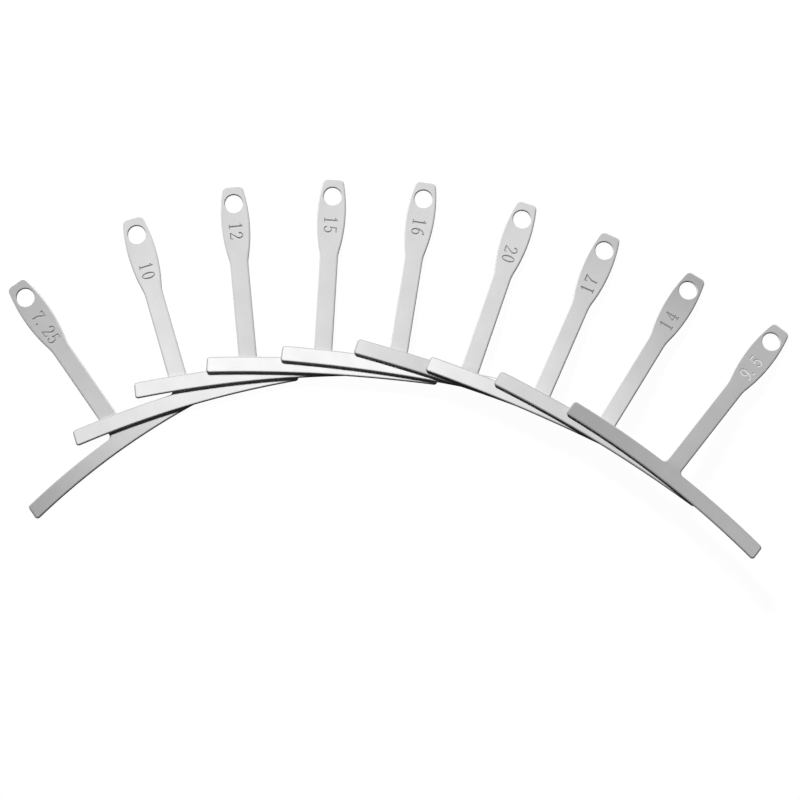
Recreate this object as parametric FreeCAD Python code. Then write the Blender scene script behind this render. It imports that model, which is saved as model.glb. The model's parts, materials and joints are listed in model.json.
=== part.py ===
import FreeCAD, Part
import math
import os

# Set of nine guitar radius gauges in stainless sheet, fanned out from left to right.
# Every gauge is one T-shaped blank: a bowed blade ground to one fretboard radius, on a
# tapering handle with a round head and a hanging hole. Sizes are in millimetres.
# A gauge is drawn flat with the middle of its blade's lower edge at the origin and its
# handle along +Y, and is then laid down the way it rests on the gauges under it.

# Sheet
sheet_thickness = 0.5
edge_break = 0.1

# Blade
blade_length = 60.0
blade_width = 4.2
blade_corner_radius = 0.85

# Handle
gauge_height = 52.2
stem_width = 4.75
stem_fillet_radius = 1.0
head_width = 7.45
head_widest_below_top = 9.8
head_side_radius = 41.5
head_corner_radius = 1.0
head_to_stem_radius = 10.0

# Hanging hole
hole_diameter = 4.6
hole_below_top = 4.7

# Laid-out set
contact_clearance = 0.05
outline_step = 1.5
settling_rounds = 8
height_tolerance = 1e-6

# Fretboard radii are marked in inches
mm_per_inch = 25.4

# Each gauge from the bottom of the fan to the top: name, radius in inches, place of the
# middle of its blade's lower edge, and turn to the left in degrees.
fan = (
    ("gauge_7_25", 7.25, -70.5, -11.9, 35.2),
    ("gauge_10", 10.0, -55.4, -1.9, 16.7),
    ("gauge_12", 12.0, -38.9, 4.6, 5.8),
    ("gauge_15", 15.0, -20.3, 6.4, -3.1),
    ("gauge_16", 16.0, -1.3, 6.2, -9.0),
    ("gauge_20", 20.0, 16.5, 2.8, -19.0),
    ("gauge_17", 17.0, 34.2, -4.0, -23.9),
    ("gauge_14", 14.0, 50.0, -11.3, -32.0),
    ("gauge_9_5", 9.5, 66.8, -21.4, -38.8),
)


def point(x, y, z=0.0):
    return FreeCAD.Vector(x, y, z)


def mirrored(place):
    return point(-place.x, place.y)


# Point on the circle about start that lies in the direction of end
def towards(start, end, distance):
    direction = end - start
    direction.normalize()
    return start + direction * distance


# Shorter arc about a centre, kept as its start, middle and end
def arc_points(centre, start, end):
    middle = (start + end) * 0.5
    return (start, towards(centre, middle, (start - centre).Length), end)


# Centre of a round that touches the circle of this radius about (0, -blade_radius)
def centre_on_blade(blade_radius, x, distance):
    return point(x, math.sqrt(distance ** 2 - x ** 2) - blade_radius)


# Right-hand half of the outline, from the lower edge of the blade up to the top of the head
def half_outline(blade_radius):
    middle = point(0, -blade_radius)
    half_blade = blade_length / 2
    half_stem = stem_width / 2
    top_radius = blade_radius + blade_width
    corner_x = half_blade - blade_corner_radius

    low = centre_on_blade(blade_radius, corner_x, blade_radius + blade_corner_radius)
    low_start = towards(middle, low, blade_radius)
    low_end = point(half_blade, low.y)
    high = centre_on_blade(blade_radius, corner_x, top_radius - blade_corner_radius)
    high_start = point(half_blade, high.y)
    high_end = towards(middle, high, top_radius)

    fillet_x = half_stem + stem_fillet_radius
    fillet = centre_on_blade(blade_radius, fillet_x, top_radius + stem_fillet_radius)
    fillet_start = towards(middle, fillet, top_radius)
    fillet_end = point(half_stem, fillet.y)

    side = point(head_width / 2 - head_side_radius, gauge_height - head_widest_below_top)
    blend_x = half_stem + head_to_stem_radius
    reach = head_side_radius + head_to_stem_radius
    blend = point(blend_x, side.y - math.sqrt(reach ** 2 - (blend_x - side.x) ** 2))
    blend_start = point(half_stem, blend.y)
    blend_end = towards(side, blend, head_side_radius)

    inner = head_side_radius - head_corner_radius
    corner_y = gauge_height - head_corner_radius
    corner = point(side.x + math.sqrt(inner ** 2 - (corner_y - side.y) ** 2), corner_y)
    corner_start = towards(side, corner, head_side_radius)
    corner_end = point(corner.x, gauge_height)

    return (
        arc_points(low, low_start, low_end),
        (low_end, high_start),
        arc_points(high, high_start, high_end),
        arc_points(middle, high_end, fillet_start),
        arc_points(fillet, fillet_start, fillet_end),
        (fillet_end, blend_start),
        arc_points(blend, blend_start, blend_end),
        arc_points(side, blend_end, corner_start),
        arc_points(corner, corner_start, corner_end),
    )


def edge_through(places):
    if len(places) == 3:
        return Part.Arc(*places).toShape()
    return Part.LineSegment(*places).toShape()


# Whole outline: the right-hand half, its mirror image, and the two edges that join them
def outline(blade_radius):
    right = half_outline(blade_radius)
    left = [[mirrored(place) for place in places] for places in right]
    low_right = right[0][0]
    top_right = right[-1][-1]
    lower_edge = (mirrored(low_right), point(0, 0), low_right)
    top_edge = (top_right, mirrored(top_right))
    edges = [edge_through(places) for places in (*right, *left, lower_edge, top_edge)]
    return Part.Wire(Part.__sortEdges__(edges))


# Flat blank with its hanging hole, all its cut edges slightly broken
def blank(blade_radius):
    sheet = Part.Face(outline(blade_radius)).extrude(point(0, 0, sheet_thickness))
    hole_centre = point(0, gauge_height - hole_below_top)
    gauge = sheet.cut(Part.makeCylinder(hole_diameter / 2, sheet_thickness, hole_centre))
    rims = [edge for edge in gauge.Edges if edge.BoundBox.ZLength < edge_break]
    return gauge.makeChamfer(edge_break, rims).Solids[0]


# Turn to the left, then lean and pitch until the X and Y axes rise by these sines
def placement(x, y, turn, rise):
    height, rise_x, rise_y = rise
    lean = math.asin(rise_x)
    pitch = math.asin(rise_y / math.cos(lean))
    rotation = FreeCAD.Rotation(point(0, 0, 1), turn)
    rotation = rotation.multiply(FreeCAD.Rotation(point(0, 1, 0), -math.degrees(lean)))
    rotation = rotation.multiply(FreeCAD.Rotation(point(1, 0, 0), math.degrees(pitch)))
    return FreeCAD.Placement(point(x, y, height), rotation)


# Height of the plane through a placed gauge's origin, shifted along its own Z
def plane_height(place, level, x, y):
    normal = place.Rotation.multVec(point(0, 0, 1))
    base = place.multVec(point(0, 0, level))
    return base.z - (normal.x * (x - base.x) + normal.y * (y - base.y)) / normal.z


# Outline of a placed gauge, as a flat face seen from above
def footprint(rim, place, level):
    corners = [place.multVec(corner + point(0, 0, level)) for corner in rim]
    flat = [point(corner.x, corner.y) for corner in corners]
    return Part.Face(Part.makePolygon(flat + flat[:1]))


# Weights of three supports that balance at a place
def balance(triangle, u, v):
    (u1, v1, h1), (u2, v2, h2), (u3, v3, h3) = triangle
    area = (u2 - u1) * (v3 - v1) - (u3 - u1) * (v2 - v1)
    second = ((u - u1) * (v3 - v1) - (u3 - u1) * (v - v1)) / area
    third = ((u2 - u1) * (v - v1) - (u - u1) * (v2 - v1)) / area
    return (1 - second - third, second, third)


def height_on(triangle, u, v):
    weights = balance(triangle, u, v)
    return sum(weight * support[2] for weight, support in zip(weights, triangle))


# Three supports that carry the gauge under its centre of mass and leave no support above it.
# The highest support that is still above takes the place of the one that keeps the balance.
def resting_triangle(supports, first, centre):
    triangle = list(first)
    for _ in range(len(supports)):
        highest = max(supports, key=lambda s: s[2] - height_on(triangle, s[0], s[1]))
        if highest[2] - height_on(triangle, highest[0], highest[1]) < height_tolerance:
            break
        own = balance(triangle, centre.x, centre.y)
        new = balance(triangle, highest[0], highest[1])
        ratios = [(a / b, i) for i, (a, b) in enumerate(zip(own, new)) if b > height_tolerance]
        triangle[min(ratios)[1]] = highest
    return triangle


# Rest of one gauge on the table and on the gauges already laid down
def settle(rim, centre, x, y, turn, laid):
    table = [(corner.x, corner.y, 0.0) for corner in rim]
    left_end = min(table, key=lambda s: s[0])
    right_end = max(table, key=lambda s: s[0])
    head_top = max(table, key=lambda s: s[1])
    rise = (0.0, 0.0, 0.0)
    for _ in range(settling_rounds):
        place = placement(x, y, turn, rise)
        supports = list(table)
        for lower_rim, lower_place in laid:
            shared = footprint(rim, place, 0).common(
                footprint(lower_rim, lower_place, sheet_thickness))
            for vertex in shared.Vertexes:
                touch = point(vertex.X, vertex.Y, plane_height(place, 0, vertex.X, vertex.Y))
                local = place.inverse().multVec(touch)
                top = plane_height(lower_place, sheet_thickness, vertex.X, vertex.Y)
                supports.append((local.x, local.y, top + contact_clearance))
        triangle = resting_triangle(supports, (left_end, right_end, head_top), centre)
        height = height_on(triangle, 0, 0)
        rise = (height, height_on(triangle, 1, 0) - height, height_on(triangle, 0, 1) - height)
    return placement(x, y, turn, rise)


# All nine gauges laid down in turn, then moved so that the fan stands on its centre
def laid_out_set():
    laid = []
    gauges = []
    for name, inches, x, y, turn in fan:
        gauge = blank(inches * mm_per_inch)
        rim = outline(inches * mm_per_inch).discretize(Distance=outline_step)
        place = settle(rim, gauge.CenterOfMass, x, y, turn, laid)
        laid.append((rim, place))
        gauge.Placement = place
        gauges.append((name, gauge))
    box = Part.makeCompound([gauge for name, gauge in gauges]).optimalBoundingBox(False)
    for name, gauge in gauges:
        gauge.translate(point(-box.Center.x, -box.Center.y, -box.ZMin))
    return gauges


os.makedirs("parts", exist_ok=True)
for name, gauge in laid_out_set():
    gauge.exportStep("parts/" + name + ".step")
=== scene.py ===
import json
import math

import bpy
import numpy as np
from mathutils.geometry import delaunay_2d_cdt
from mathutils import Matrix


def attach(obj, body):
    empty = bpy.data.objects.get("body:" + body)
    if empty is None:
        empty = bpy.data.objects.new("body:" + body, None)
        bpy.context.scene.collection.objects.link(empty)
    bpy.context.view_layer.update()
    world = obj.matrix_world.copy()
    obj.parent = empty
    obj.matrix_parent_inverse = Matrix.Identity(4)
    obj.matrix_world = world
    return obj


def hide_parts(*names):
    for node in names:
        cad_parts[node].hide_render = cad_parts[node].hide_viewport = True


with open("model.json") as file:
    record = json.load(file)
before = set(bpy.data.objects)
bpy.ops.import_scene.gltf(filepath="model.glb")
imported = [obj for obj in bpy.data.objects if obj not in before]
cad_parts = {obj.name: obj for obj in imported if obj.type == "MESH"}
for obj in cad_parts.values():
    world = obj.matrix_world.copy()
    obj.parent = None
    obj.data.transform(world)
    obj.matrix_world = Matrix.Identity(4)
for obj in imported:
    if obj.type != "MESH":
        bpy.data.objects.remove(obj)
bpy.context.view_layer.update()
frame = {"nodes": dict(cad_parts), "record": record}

mm = 0.001
print("frame loaded:", len(frame["nodes"]), "gauges")

# One steel blank, drawn flat in millimetres: the blade's lower edge passes through the origin
# and the handle points up +y
blank = {
    "bladeLength": 60.0,
    "bladeWidth": 4.2,
    "bladeCorner": 0.85,
    "height": 52.2,
    "stemWidth": 4.75,
    "stemFillet": 1.0,
    "headWidth": 7.45,
    "headWidest": 9.8,  # below the top of the head
    "headSide": 41.5,
    "headCorner": 1.4,
    "headBlend": 10.0,
    "sheet": 0.5,
    "holeRadius": 2.3,
    "holeBelowTop": 4.7,
    "rollHeight": 0.36,  # the upper edges are rolled over, more widely outside than in the hole
    "rollWidth": 0.5,
    "holeRollWidth": 0.32,
    "bottomRound": 0.12,
    "longStep": 0.9,  # spacing of points on long edges
    "cornerStep": 0.12,  # and on small rounds
    "roundSteps": 7,
    "holePoints": 96,
}
inch = 25.4

# How the numbers are struck into the heads, in millimetres
mark = {
    "digitHeight": 3.45,
    "depth": 0.1,
    "slope": 0.09,  # width of the sloping side of a groove
    "grid": 0.05,
    "margin": 0.25,
}

# Text, distance of its first character below the top, step to the next, side the tops face
markings = {
    "gauge_7_25": ("7.25", 11.0, 2.35, "right"),
    "gauge_10": ("10", 13.7, 2.5, "right"),
    "gauge_12": ("12", 10.95, 2.5, "right"),
    "gauge_15": ("15", 11.3, 2.45, "right"),
    "gauge_16": ("16", 11.25, 2.5, "right"),
    "gauge_20": ("20", 13.6, 2.5, "right"),
    "gauge_17": ("17", 16.2, 2.75, "left"),
    "gauge_14": ("14", 16.0, 2.8, "left"),
    "gauge_9_5": ("9.5", 16.0, 2.2, "left"),
}


def arc(centre, start, end, step):
    # Points of the shorter arc about centre, from start up to but without end
    a = np.angle(start - centre)
    turn = np.angle((end - centre) / (start - centre))
    count = max(2, math.ceil(abs(turn) * abs(start - centre) / step))
    return centre + abs(start - centre) * np.exp(1j * (a + turn * np.arange(count) / count))


def line(start, end, step):
    # Evenly spaced points of a straight line, from start up to but without end
    count = max(1, math.ceil(abs(end - start) / step))
    return start + (end - start) * np.arange(count) / count


def halfOutline(radius):
    # Right half of the T as complex numbers: lines and arcs that touch where they meet
    b = blank
    small, wide = b["cornerStep"], b["longStep"]
    middle = -1j * radius
    upper = radius + b["bladeWidth"]
    endX = b["bladeLength"] / 2
    stemX = b["stemWidth"] / 2

    def onBlade(x, reach):  # the place at x that lies this far from the blade's middle
        return x + 1j * (math.sqrt(reach ** 2 - x ** 2) - radius)

    def out(centre, via, reach):  # from centre through via, this far out
        return centre + (via - centre) / abs(via - centre) * reach

    low = onBlade(endX - b["bladeCorner"], radius + b["bladeCorner"])
    high = onBlade(endX - b["bladeCorner"], upper - b["bladeCorner"])
    fillet = onBlade(stemX + b["stemFillet"], upper + b["stemFillet"])
    side = b["headWidth"] / 2 - b["headSide"] + 1j * (b["height"] - b["headWidest"])
    blendX = stemX + b["headBlend"]
    blendDrop = math.sqrt((b["headSide"] + b["headBlend"]) ** 2 - (blendX - side.real) ** 2)
    blend = blendX + 1j * (side.imag - blendDrop)
    cornerY = b["height"] - b["headCorner"]
    cornerReach = math.sqrt((b["headSide"] - b["headCorner"]) ** 2 - (cornerY - side.imag) ** 2)
    corner = side.real + cornerReach + 1j * cornerY

    lowStart, lowEnd = out(middle, low, radius), endX + 1j * low.imag
    highStart, highEnd = endX + 1j * high.imag, out(middle, high, upper)
    filletStart, filletEnd = out(middle, fillet, upper), stemX + 1j * fillet.imag
    blendStart, blendEnd = stemX + 1j * blend.imag, out(side, blend, b["headSide"])
    cornerStart, cornerEnd = out(side, corner, b["headSide"]), corner.real + 1j * b["height"]
    return np.concatenate([
        arc(middle, 0j, lowStart, wide),
        arc(low, lowStart, lowEnd, small),
        line(lowEnd, highStart, wide),
        arc(high, highStart, highEnd, small),
        arc(middle, highEnd, filletStart, wide),
        arc(fillet, filletStart, filletEnd, small),
        line(filletEnd, blendStart, wide),
        arc(blend, blendStart, blendEnd, wide),
        arc(side, blendEnd, cornerStart, wide),
        arc(corner, cornerStart, cornerEnd, small),
        line(cornerEnd, 1j * b["height"], wide),
        [1j * b["height"]],
    ])


def loopNormals(loop):
    # Outward unit normal of a counter-clockwise loop: the mean direction of its two sides, turned
    ahead = np.roll(loop, -1) - loop
    back = loop - np.roll(loop, 1)
    tangent = ahead / abs(ahead) + back / abs(back)
    return -1j * tangent / abs(tangent)


def edgeProfile(width):
    # Inset, height and steepness of each ring: a quarter round below, the wall, a quarter of an
    # ellipse on top; the steepness is 1 on the wall and falls to 0 where a round meets a face
    b = blank
    t = np.linspace(0, math.pi / 2, b["roundSteps"] + 1)
    low, high = b["bottomRound"], b["rollHeight"]
    inset = np.concatenate([low * (1 - np.sin(t)), width * (1 - np.cos(t))])
    height = np.concatenate([low * (1 - np.cos(t)), b["sheet"] - high * (1 - np.sin(t))])
    return inset, height, np.concatenate([t, t[-1] - t]) / t[-1]


def ringWalls(loop, normals, sign, width):
    # The profile carried round a loop: point(i, k) = loop(i) - sign * normal(i) * inset(k)
    inset, height, steep = edgeProfile(width)
    flat = loop[None, :] - sign * normals[None, :] * inset[:, None]
    verts = np.stack([flat.real, flat.imag, np.broadcast_to(height[:, None], flat.shape)], -1)
    rows, cols = flat.shape
    index = np.arange(rows * cols).reshape(rows, cols)
    a, b = index[:-1], np.roll(index, -1, 1)[:-1]
    c, d = np.roll(index, -1, 1)[1:], index[1:]
    quads = np.stack([a, b, c, d], -1).reshape(-1, 4)
    if sign < 0:
        quads = quads[:, ::-1]
    return verts.reshape(-1, 3), quads, index, np.repeat(steep, cols)


def fillBetween(points, loops):
    # Flat faces between closed loops: those whose middle lies inside an odd number of loops
    order = np.concatenate(loops)
    flat = points[order][:, :2]
    sizes = [len(loop) for loop in loops]
    starts = np.cumsum([0] + sizes[:-1])
    edges = np.concatenate([
        np.stack([start + np.arange(size), start + (np.arange(size) + 1) % size], -1)
        for start, size in zip(starts, sizes)])
    out = delaunay_2d_cdt(flat.tolist(), edges.tolist(), [], 0, 1e-7, False)
    found = np.array([tuple(v) for v in out[0]])
    tris = np.array(out[2])
    nearest = np.abs(found[:, None] - flat[None]).sum(-1).argmin(1)
    x, y = found[tris].mean(1).T[:, :, None]
    (x0, y0), (x1, y1) = flat[edges[:, 0]].T, flat[edges[:, 1]].T
    rise = np.where(y1 == y0, 1.0, y1 - y0)
    crossed = ((y0 > y) != (y1 > y)) & (x < x0 + (y - y0) * (x1 - x0) / rise)
    tris = tris[crossed.sum(1) % 2 == 1]
    p, q, r = (found[tris[:, k]] for k in range(3))
    area = (q[:, 0] - p[:, 0]) * (r[:, 1] - p[:, 1]) - (q[:, 1] - p[:, 1]) * (r[:, 0] - p[:, 0])
    tris = np.where(area[:, None] < 0, tris[:, ::-1], tris)
    return order[nearest[tris]]


# Strokes of each numeral in a cell one unit high with its baseline at 0. A stroke is a row of
# places, each with the half-width there.
thick, thin = 0.06, 0.032


def bar(x0, y0, x1, y1, w0, w1=None):
    # A straight stroke, its half-width running from w0 to w1
    return np.array([(x0, y0, w0), (x1, y1, w0 if w1 is None else w1)])


def bow(cx, cy, rx, ry, fromDeg, toDeg):
    # Part of an ellipse, thick where it runs up and down and thin where it runs across
    a = np.radians(np.linspace(fromDeg, toDeg, 15))
    return np.stack([cx + rx * np.cos(a), cy + ry * np.sin(a),
                     thin + (thick - thin) * np.abs(np.cos(a)) ** 1.5], -1)


def dot(x, y, w):
    # A stroke so short that only its round end shows
    return bar(x, y, x + 0.001, y, w)


def turned(strokes, x, y):
    # The same strokes turned half round about a point
    return [np.stack([2 * x - s[:, 0], 2 * y - s[:, 1], s[:, 2]], -1) for s in strokes]


six = [
    bow(0.0, 0.3, 0.2, 0.28, 0, 360),
    bow(0.2, 0.36, 0.4, 0.6, 88, 185),
    dot(0.17, 0.88, 0.05),
]
numerals = {
    "0": [bow(0.0, 0.5, 0.21, 0.47, 0, 360)],
    "1": [bar(0.0, 0.03, 0.0, 0.97, thick), bar(-0.15, 0.02, 0.15, 0.02, thin),
          bar(0.0, 0.96, -0.15, 0.84, thin)],
    "2": [bow(-0.01, 0.72, 0.2, 0.25, 175, -35), bar(0.15, 0.57, -0.2, 0.08, 0.045, thin),
          bar(-0.2, 0.05, 0.2, 0.05, 0.045), bar(0.2, 0.05, 0.24, 0.2, thin),
          dot(-0.18, 0.74, 0.055)],
    "4": [bar(0.1, 0.96, -0.24, 0.32, thin), bar(-0.24, 0.3, 0.25, 0.3, thin),
          bar(0.1, 0.95, 0.1, 0.03, thick), bar(-0.03, 0.02, 0.23, 0.02, thin)],
    "5": [bar(-0.12, 0.94, 0.2, 0.94, 0.045), bar(-0.12, 0.94, -0.16, 0.52, thin),
          bow(-0.01, 0.31, 0.22, 0.28, 135, -150), dot(-0.2, 0.16, 0.055)],
    "6": six,
    "7": [bar(-0.2, 0.93, 0.23, 0.93, 0.05), bar(-0.2, 0.94, -0.22, 0.78, thin),
          bar(0.22, 0.92, -0.05, 0.45, thin, 0.05), bar(-0.05, 0.45, -0.08, 0.04, 0.05, thick)],
    "9": turned(six, 0.0, 0.5),
    ".": [dot(-0.26, 0.06, 0.075)],
}


def strikeDepth(u, v, text, firstBelow, pitch, tops):
    # Depth from 0 to 1 at each point, from its distance to the nearest stroke: a flat floor with
    # sides that ease in and out
    up, along = (1.0, -1.0) if tops == "right" else (-1.0, 1.0)
    nearest = np.full(u.shape, 1e3)
    for place, character in enumerate(text):
        centre = blank["height"] - firstBelow + along * pitch * place
        cellY = up * u / mark["digitHeight"] + 0.5
        cellX = along * (v - centre) / mark["digitHeight"]
        for stroke in numerals[character]:
            for (x0, y0, w0), (x1, y1, w1) in zip(stroke[:-1], stroke[1:]):
                length = (x1 - x0) ** 2 + (y1 - y0) ** 2
                t = np.clip(((cellX - x0) * (x1 - x0) + (cellY - y0) * (y1 - y0)) / length, 0, 1)
                gap = np.hypot(cellX - x0 - t * (x1 - x0), cellY - y0 - t * (y1 - y0))
                nearest = np.minimum(nearest, gap - w0 - t * (w1 - w0))
    edge = nearest * mark["digitHeight"] / mark["slope"]
    fall = np.clip(0.5 - edge, 0, 1)
    return fall * fall * (3 - 2 * fall)


def markPatch(node):
    # A fine grid over the marking, its height lowered by the depth of the struck strokes
    text, firstBelow, pitch, tops = markings[node]
    far = firstBelow + (pitch * (len(text) - 1)) * (1 if tops == "right" else -1)
    reach = pitch / 2 + mark["margin"]
    lowY = blank["height"] - max(firstBelow, far) - reach
    highY = blank["height"] - min(firstBelow, far) + reach
    halfX = mark["digitHeight"] / 2 + mark["margin"]
    cols = math.ceil(2 * halfX / mark["grid"]) + 1
    rows = math.ceil((highY - lowY) / mark["grid"]) + 1
    u, v = np.meshgrid(np.linspace(-halfX, halfX, cols), np.linspace(lowY, highY, rows))
    struck = strikeDepth(u, v, text, firstBelow, pitch, tops)
    struck[[0, -1]] = 0
    struck[:, [0, -1]] = 0
    verts = np.stack([u, v, blank["sheet"] - mark["depth"] * struck], -1).reshape(-1, 3)
    index = np.arange(rows * cols).reshape(rows, cols)
    quads = np.stack([index[:-1, :-1], index[:-1, 1:], index[1:, 1:], index[1:, :-1]], -1)
    rim = np.concatenate([index[0, :-1], index[:-1, -1], index[-1, :0:-1], index[:0:-1, 0]])
    return verts, quads.reshape(-1, 4), rim, struck.reshape(-1)


def gaugeAxes(node):
    # Axes of a packed gauge: z along its hole, y from its balance point to the hole
    name = node.replace("gauge", "hanging_hole")
    hole = next(m for m in frame["record"]["mounts"] if m["name"] == name)
    mesh = frame["nodes"][node].data
    points = np.zeros(len(mesh.vertices) * 3)
    mesh.vertices.foreach_get("co", points)
    mesh.calc_loop_triangles()
    tris = np.zeros(len(mesh.loop_triangles) * 3, dtype=int)
    mesh.loop_triangles.foreach_get("vertices", tris)
    corners = points.reshape(-1, 3)[tris.reshape(-1, 3)]
    area = np.linalg.norm(np.cross(corners[:, 1] - corners[:, 0], corners[:, 2] - corners[:, 0]),
                          axis=1)
    balance = (corners.mean(1) * area[:, None]).sum(0) / area.sum()
    z = np.array(hole["axis"]) / np.linalg.norm(hole["axis"])
    y = np.array(hole["pos_m"]) - balance
    y -= z * (y @ z)
    y /= np.linalg.norm(y)
    reach = blank["height"] - blank["holeBelowTop"]
    origin = np.array(hole["pos_m"]) - (y * reach + z * blank["sheet"] / 2) * mm
    return origin, np.stack([np.cross(y, z), y, z])


def makeGauge(node):
    # Walls round the outline and the hole, a struck patch for the number and the flat faces
    # between them, joined at shared points into one closed mesh
    radius = float(node[len("gauge_"):].replace("_", ".")) * inch
    half = halfOutline(radius)
    loop = np.concatenate([half, -np.conj(half[-2:0:-1])])
    edgeVerts, edgeQuads, edgeIndex, edgeSteep = ringWalls(
        loop, loopNormals(loop), 1, blank["rollWidth"])

    holeY = blank["height"] - blank["holeBelowTop"]
    turn = np.exp(2j * math.pi * np.arange(blank["holePoints"]) / blank["holePoints"])
    holeVerts, holeQuads, holeIndex, holeSteep = ringWalls(
        1j * holeY + blank["holeRadius"] * turn, turn, -1, blank["holeRollWidth"])
    patchVerts, patchQuads, patchRim, struck = markPatch(node)

    holeFrom = len(edgeVerts)
    patchFrom = holeFrom + len(holeVerts)
    verts = np.concatenate([edgeVerts, holeVerts, patchVerts])
    holeIndex = holeIndex + holeFrom

    top = fillBetween(verts, [edgeIndex[-1], holeIndex[-1], patchRim + patchFrom])
    bottom = fillBetween(verts, [edgeIndex[0], holeIndex[0]])[:, ::-1]
    quads = np.concatenate([edgeQuads, holeQuads + holeFrom, patchQuads + patchFrom])
    tris = np.concatenate([top, bottom])

    mesh = bpy.data.meshes.new(node + "_steel")
    mesh.vertices.add(len(verts))
    origin, axes = gaugeAxes(node)
    mesh.vertices.foreach_set("co", (origin + verts * mm @ axes).ravel())
    mesh.loops.add(quads.size + tris.size)
    mesh.loops.foreach_set("vertex_index", np.concatenate([quads.ravel(), tris.ravel()]))
    mesh.polygons.add(len(quads) + len(tris))
    starts = np.concatenate([np.arange(len(quads)) * 4, quads.size + np.arange(len(tris)) * 3])
    mesh.polygons.foreach_set("loop_start", starts)
    smooth = np.concatenate([np.ones(len(quads), bool), np.zeros(len(tris), bool)])
    mesh.polygons.foreach_set("use_smooth", smooth)
    mesh.update(calc_edges=True)

    sheetMap = mesh.uv_layers.new(name="sheet")  # millimetres across and along the blank
    corner = np.zeros(len(mesh.loops), dtype=int)
    mesh.loops.foreach_get("vertex_index", corner)
    sheetMap.data.foreach_set("uv", verts[corner][:, :2].ravel())

    # Painted sheen and shade of this gauge: blade and handle tones, painted gradients along them
    # and the number's tone, stored per point
    blade, bladeSlope, handle, handleSlope, number = paintedSheenAndShade[node]
    values = {
        "etched": np.concatenate([np.zeros(patchFrom), struck]),
        "steep": np.concatenate([edgeSteep, holeSteep, np.zeros(len(patchVerts))]),
        "blade": blade + bladeSlope * verts[:, 0] / (blank["bladeLength"] / 2),
        "handle": handle + handleSlope * verts[:, 1] / blank["height"],
        "number": np.full(len(verts), number),
    }
    for name, value in values.items():
        layer = mesh.attributes.new(name, "FLOAT", "POINT")
        layer.data.foreach_set("value", value.astype(np.float32))

    piece = bpy.data.objects.new(node + "_steel", mesh)
    bpy.context.scene.collection.objects.link(piece)
    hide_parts(node)
    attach(piece, node)
    return piece


class Sock:
    # A node socket or a number, with Python's own operators building Math nodes
    def __init__(self, graph, link):
        self.graph = graph
        self.link = link

    def math(self, operation, *others):
        return self.graph.node("ShaderNodeMath", {"operation": operation},
                               {k: v for k, v in enumerate((self, *others))})

    def __add__(self, other):
        return self.math("ADD", other)

    def __mul__(self, other):
        return self.math("MULTIPLY", other)

    def __sub__(self, other):
        return self.math("SUBTRACT", other)

    def __rsub__(self, other):
        return (self * -1.0) + other

    __radd__ = __add__
    __rmul__ = __mul__

    def clamp(self):
        return self.math("MINIMUM", 1.0).math("MAXIMUM", 0.0)


class Graph:
    # Adds the nodes of one material, lamp or world
    def __init__(self, tree):
        self.tree = tree
        tree.nodes.clear()

    def node(self, kind, settings=None, inputs=None, output=0):
        made = self.tree.nodes.new(kind)
        for key, value in (settings or {}).items():
            setattr(made, key, value)
        for key, value in (inputs or {}).items():
            if isinstance(value, Sock):
                self.tree.links.new(value.link, made.inputs[key])
            else:
                made.inputs[key].default_value = value
        return Sock(self, made.outputs[output]) if made.outputs else None


# Painted sheen and shade: how bright each gauge's steel looks where the key lamp falls on it,
# where 1 is the
# brightest a metal can be: middle of its blade, painted gradient from there to the blade's right
# end, bottom of its handle, painted gradient from there to the top of the head, and the floor of
# its number (pale on 9.5 as a painted highlight)
paintedSheenAndShade = {
    "gauge_7_25": (0.64, 0.21, 0.65, -0.2, 0.34),
    "gauge_10": (0.79, 0.06, 0.77, -0.16, 0.35),
    "gauge_12": (0.82, 0.03, 0.67, -0.07, 0.3),
    "gauge_15": (0.84, 0.0, 0.68, -0.08, 0.35),
    "gauge_16": (0.84, 0.02, 0.68, -0.08, 0.33),
    "gauge_20": (0.59, -0.11, 0.69, -0.09, 0.33),
    "gauge_17": (0.71, -0.07, 0.73, -0.22, 0.26),
    "gauge_14": (0.64, 0.0, 0.74, -0.34, 0.3),
    "gauge_9_5": (0.45, 0.06, 0.5, -0.02, 0.64),
}

steel = {
    "tint": (1.0, 1.0, 1.004),
    "bladeEnds": 6.0,  # the blade's painted sheen and shade and its ground edge tone fade out this far above its lower edge
    "bladeFade": 2.0,  # over this distance
    "linesPerMm": (0.12, 9.0, 1.0),  # polishing lines, long across the blade
    "lineTone": 0.12,
    "cloudsPerMm": 0.16,
    "cloudTone": 0.1,
    "rimPaintedShade": 0.2,  # painted shade: how much darker the rolled rim is than the face
    "rimFrom": 0.1,  # steepness past which the rim turns to cut wall
    "rimSpread": 0.25,
    "wallOxideAndShade": 0.58,  # dull oxide left by the cut, made darker as painted shade along the edges
    "groundEdgeAndShade": 0.35,  # the same where the blade's edges were ground, darker still as painted shade along the blade
    "metal": 0.5,  # a blasted, lightly oxidised face is half way to a plain matt one
    "roughness": 0.92,
    "wallRoughness": 0.1,  # added on the cut walls
    "grainRoughness": 0.16,
    "grainBump": 0.012,  # millimetres
    "specular": 0.2,
}


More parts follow.
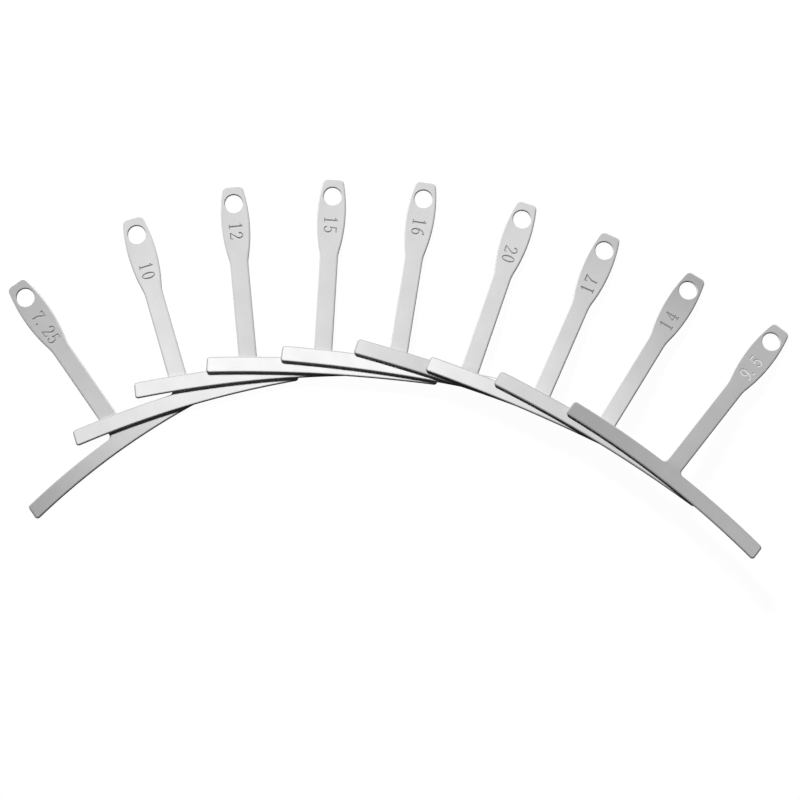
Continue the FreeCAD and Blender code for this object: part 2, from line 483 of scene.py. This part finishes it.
def steelMaterial():
    # Satin sheet: fine lines along the blade, cloudy polish, painted sheen and shade per gauge,
    # cut walls and rims darkened partly by oxide and partly by painted shade, and struck numbers
    material = bpy.data.materials.new("satinSteel")
    material.use_nodes = True
    g = Graph(material.node_tree)
    place = g.node("ShaderNodeUVMap", {"uv_map": "sheet"})
    lines = g.node("ShaderNodeMapping", inputs={"Vector": place, "Scale": steel["linesPerMm"]})
    grain = g.node("ShaderNodeTexNoise", {"noise_dimensions": "2D"},
                   {"Vector": lines, "Scale": 1.0, "Detail": 3.0, "Roughness": 0.6})
    clouds = g.node("ShaderNodeTexNoise", {"noise_dimensions": "2D"},
                    {"Vector": place, "Scale": steel["cloudsPerMm"], "Detail": 2.0,
                     "Roughness": 0.5})
    across = g.node("ShaderNodeSeparateXYZ", inputs={0: place}, output=1)
    onBlade = ((steel["bladeEnds"] - across) * (1.0 / steel["bladeFade"])).clamp()
    etched, steep, blade, handle, number = (
        g.node("ShaderNodeAttribute", {"attribute_name": name}, output=2)
        for name in ("etched", "steep", "blade", "handle", "number"))
    rim = (steep * (1.0 / steel["rimSpread"])).clamp()
    wall = ((steep - steel["rimFrom"]) * (1.0 / steel["rimSpread"])).clamp()
    # Cut walls and the outer rolled rim: partly the dull oxide of the cut, partly painted shade
    # that draws the dark edge lines, darkest along the blade
    wallOxideAndShade = steel["wallOxideAndShade"] + onBlade * (steel["groundEdgeAndShade"] - steel["wallOxideAndShade"])
    texture = (grain - 0.5) * steel["lineTone"] + (clouds - 0.5) * steel["cloudTone"] + 1.0
    # Painted shade: the rolled rim is painted darker than the face
    shade = texture * (1.0 - rim * steel["rimPaintedShade"])
    # Painted sheen and shade: the blade's or the handle's painted brightness for this gauge
    sheenAndShade = handle + (blade - handle) * onBlade
    plain, deep, edgeAndShade = (g.node("ShaderNodeVectorMath", {"operation": "SCALE"},
                               {0: steel["tint"], "Scale": amount})
                        for amount in (sheenAndShade * shade, number, wallOxideAndShade))
    # The struck number's floor takes the gauge's number tone, pale on 9.5 as a painted highlight
    struck = g.node("ShaderNodeMix", {"data_type": "RGBA"},
                    {0: etched, 6: plain, 7: deep}, output=2)
    colour = g.node("ShaderNodeMix", {"data_type": "RGBA"},
                    {0: wall, 6: struck, 7: edgeAndShade}, output=2)
    rough = ((grain - 0.5) * steel["grainRoughness"] + steel["roughness"]
             + wall * steel["wallRoughness"]).clamp()
    metal = (1.0 - wall) * steel["metal"]
    bump = g.node("ShaderNodeBump", inputs={"Height": grain, "Distance": steel["grainBump"] * mm,
                                            "Strength": 1.0})
    surface = g.node("ShaderNodeBsdfPrincipled",
                     inputs={"Base Color": colour, "Metallic": metal, "Roughness": rough,
                             "Specular IOR Level": steel["specular"], "Normal": bump})
    g.node("ShaderNodeOutputMaterial", inputs={"Surface": surface})
    return material


satin = steelMaterial()
for node in frame["nodes"]:
    makeGauge(node).data.materials.append(satin)
    print("made", node)

stage = {
    "floorSize": 30.0,  # metres
    "floorDrop": 0.00002,
    "floorColour": (0.04, 0.04, 0.04, 1.0),
    "glow": 0.975,  # what the floor adds for the camera, where 1 is white
}


def makeFloor():
    # One square just under the gauges: a dark matt paper that keeps their shadow, with a white
    # glow that only the camera, reflections and clear things see
    half = stage["floorSize"] / 2
    corners = np.array([[-half, -half], [half, -half], [half, half], [-half, half]])
    mesh = bpy.data.meshes.new("floor")
    mesh.from_pydata(np.c_[corners, np.full(4, -stage["floorDrop"])].tolist(), [], [[0, 1, 2, 3]])
    floor = bpy.data.objects.new("floor", mesh)
    bpy.context.scene.collection.objects.link(floor)
    material = bpy.data.materials.new("whiteFloor")
    material.use_nodes = True
    g = Graph(material.node_tree)
    camera, glossy, through = (g.node("ShaderNodeLightPath", output="Is " + ray + " Ray")
                               for ray in ("Camera", "Glossy", "Transmission"))
    seen = (camera + glossy + through).clamp()
    paper = g.node("ShaderNodeBsdfDiffuse", inputs={"Color": stage["floorColour"]})
    glow = g.node("ShaderNodeEmission", inputs={"Color": (1.0, 1.0, 1.0, 1.0),
                                                "Strength": seen * stage["glow"]})
    both = g.node("ShaderNodeAddShader", inputs={0: paper, 1: glow})
    g.node("ShaderNodeOutputMaterial", inputs={"Surface": both})
    mesh.materials.append(material)


makeFloor()

studio = {
    "lamps": (
        # name, direction, distance in metres, size in metres, watts
        ("key", (-0.25, 0.8, 0.52), 1.0, 0.16, 20.0),
    ),
    "sky": 0.03,
}


def makeLights():
    # Round soft lamps that face the middle of the fan, and an even sky
    for name, way, distance, size, watts in studio["lamps"]:
        light = bpy.data.lights.new(name, "AREA")
        light.shape = "DISK"
        light.size = size
        light.energy = watts
        lamp = bpy.data.objects.new(name, light)
        bpy.context.scene.collection.objects.link(lamp)
        lamp.location = np.array(way) / np.linalg.norm(way) * distance
        lamp.rotation_euler = lamp.location.to_track_quat("Z", "Y").to_euler()
    world = bpy.data.worlds.new("studio")
    bpy.context.scene.world = world
    world.use_nodes = True
    g = Graph(world.node_tree)
    sky = g.node("ShaderNodeBackground", inputs={"Color": (1.0, 1.0, 1.0, 1.0),
                                                 "Strength": studio["sky"]})
    g.node("ShaderNodeOutputWorld", inputs={"Surface": sky})


makeLights()

shot = {
    "target": (0.599, -8.715, 0.0),  # millimetres
    "distance": 450.0,
    "elevation": 84.0,
    "focalPixels": 1731.6,
    "framePixels": 800.0,
    "sensor": 36.0,
}


def makeCamera():
    # Straight in front of the target, raised by the elevation and looking at it
    data = bpy.data.cameras.new("shot")
    data.sensor_width = shot["sensor"]
    data.lens = shot["focalPixels"] / shot["framePixels"] * shot["sensor"]
    camera = bpy.data.objects.new("shot", data)
    bpy.context.scene.collection.objects.link(camera)
    tilt = math.radians(shot["elevation"])
    way = np.array([0.0, -math.cos(tilt), math.sin(tilt)])
    camera.location = (np.array(shot["target"]) + way * shot["distance"]) * mm
    camera.rotation_euler = (math.pi / 2 - tilt, 0.0, 0.0)
    bpy.context.scene.camera = camera


makeCamera()
bpy.context.scene.view_settings.view_transform = "Standard"

print("scene ready")
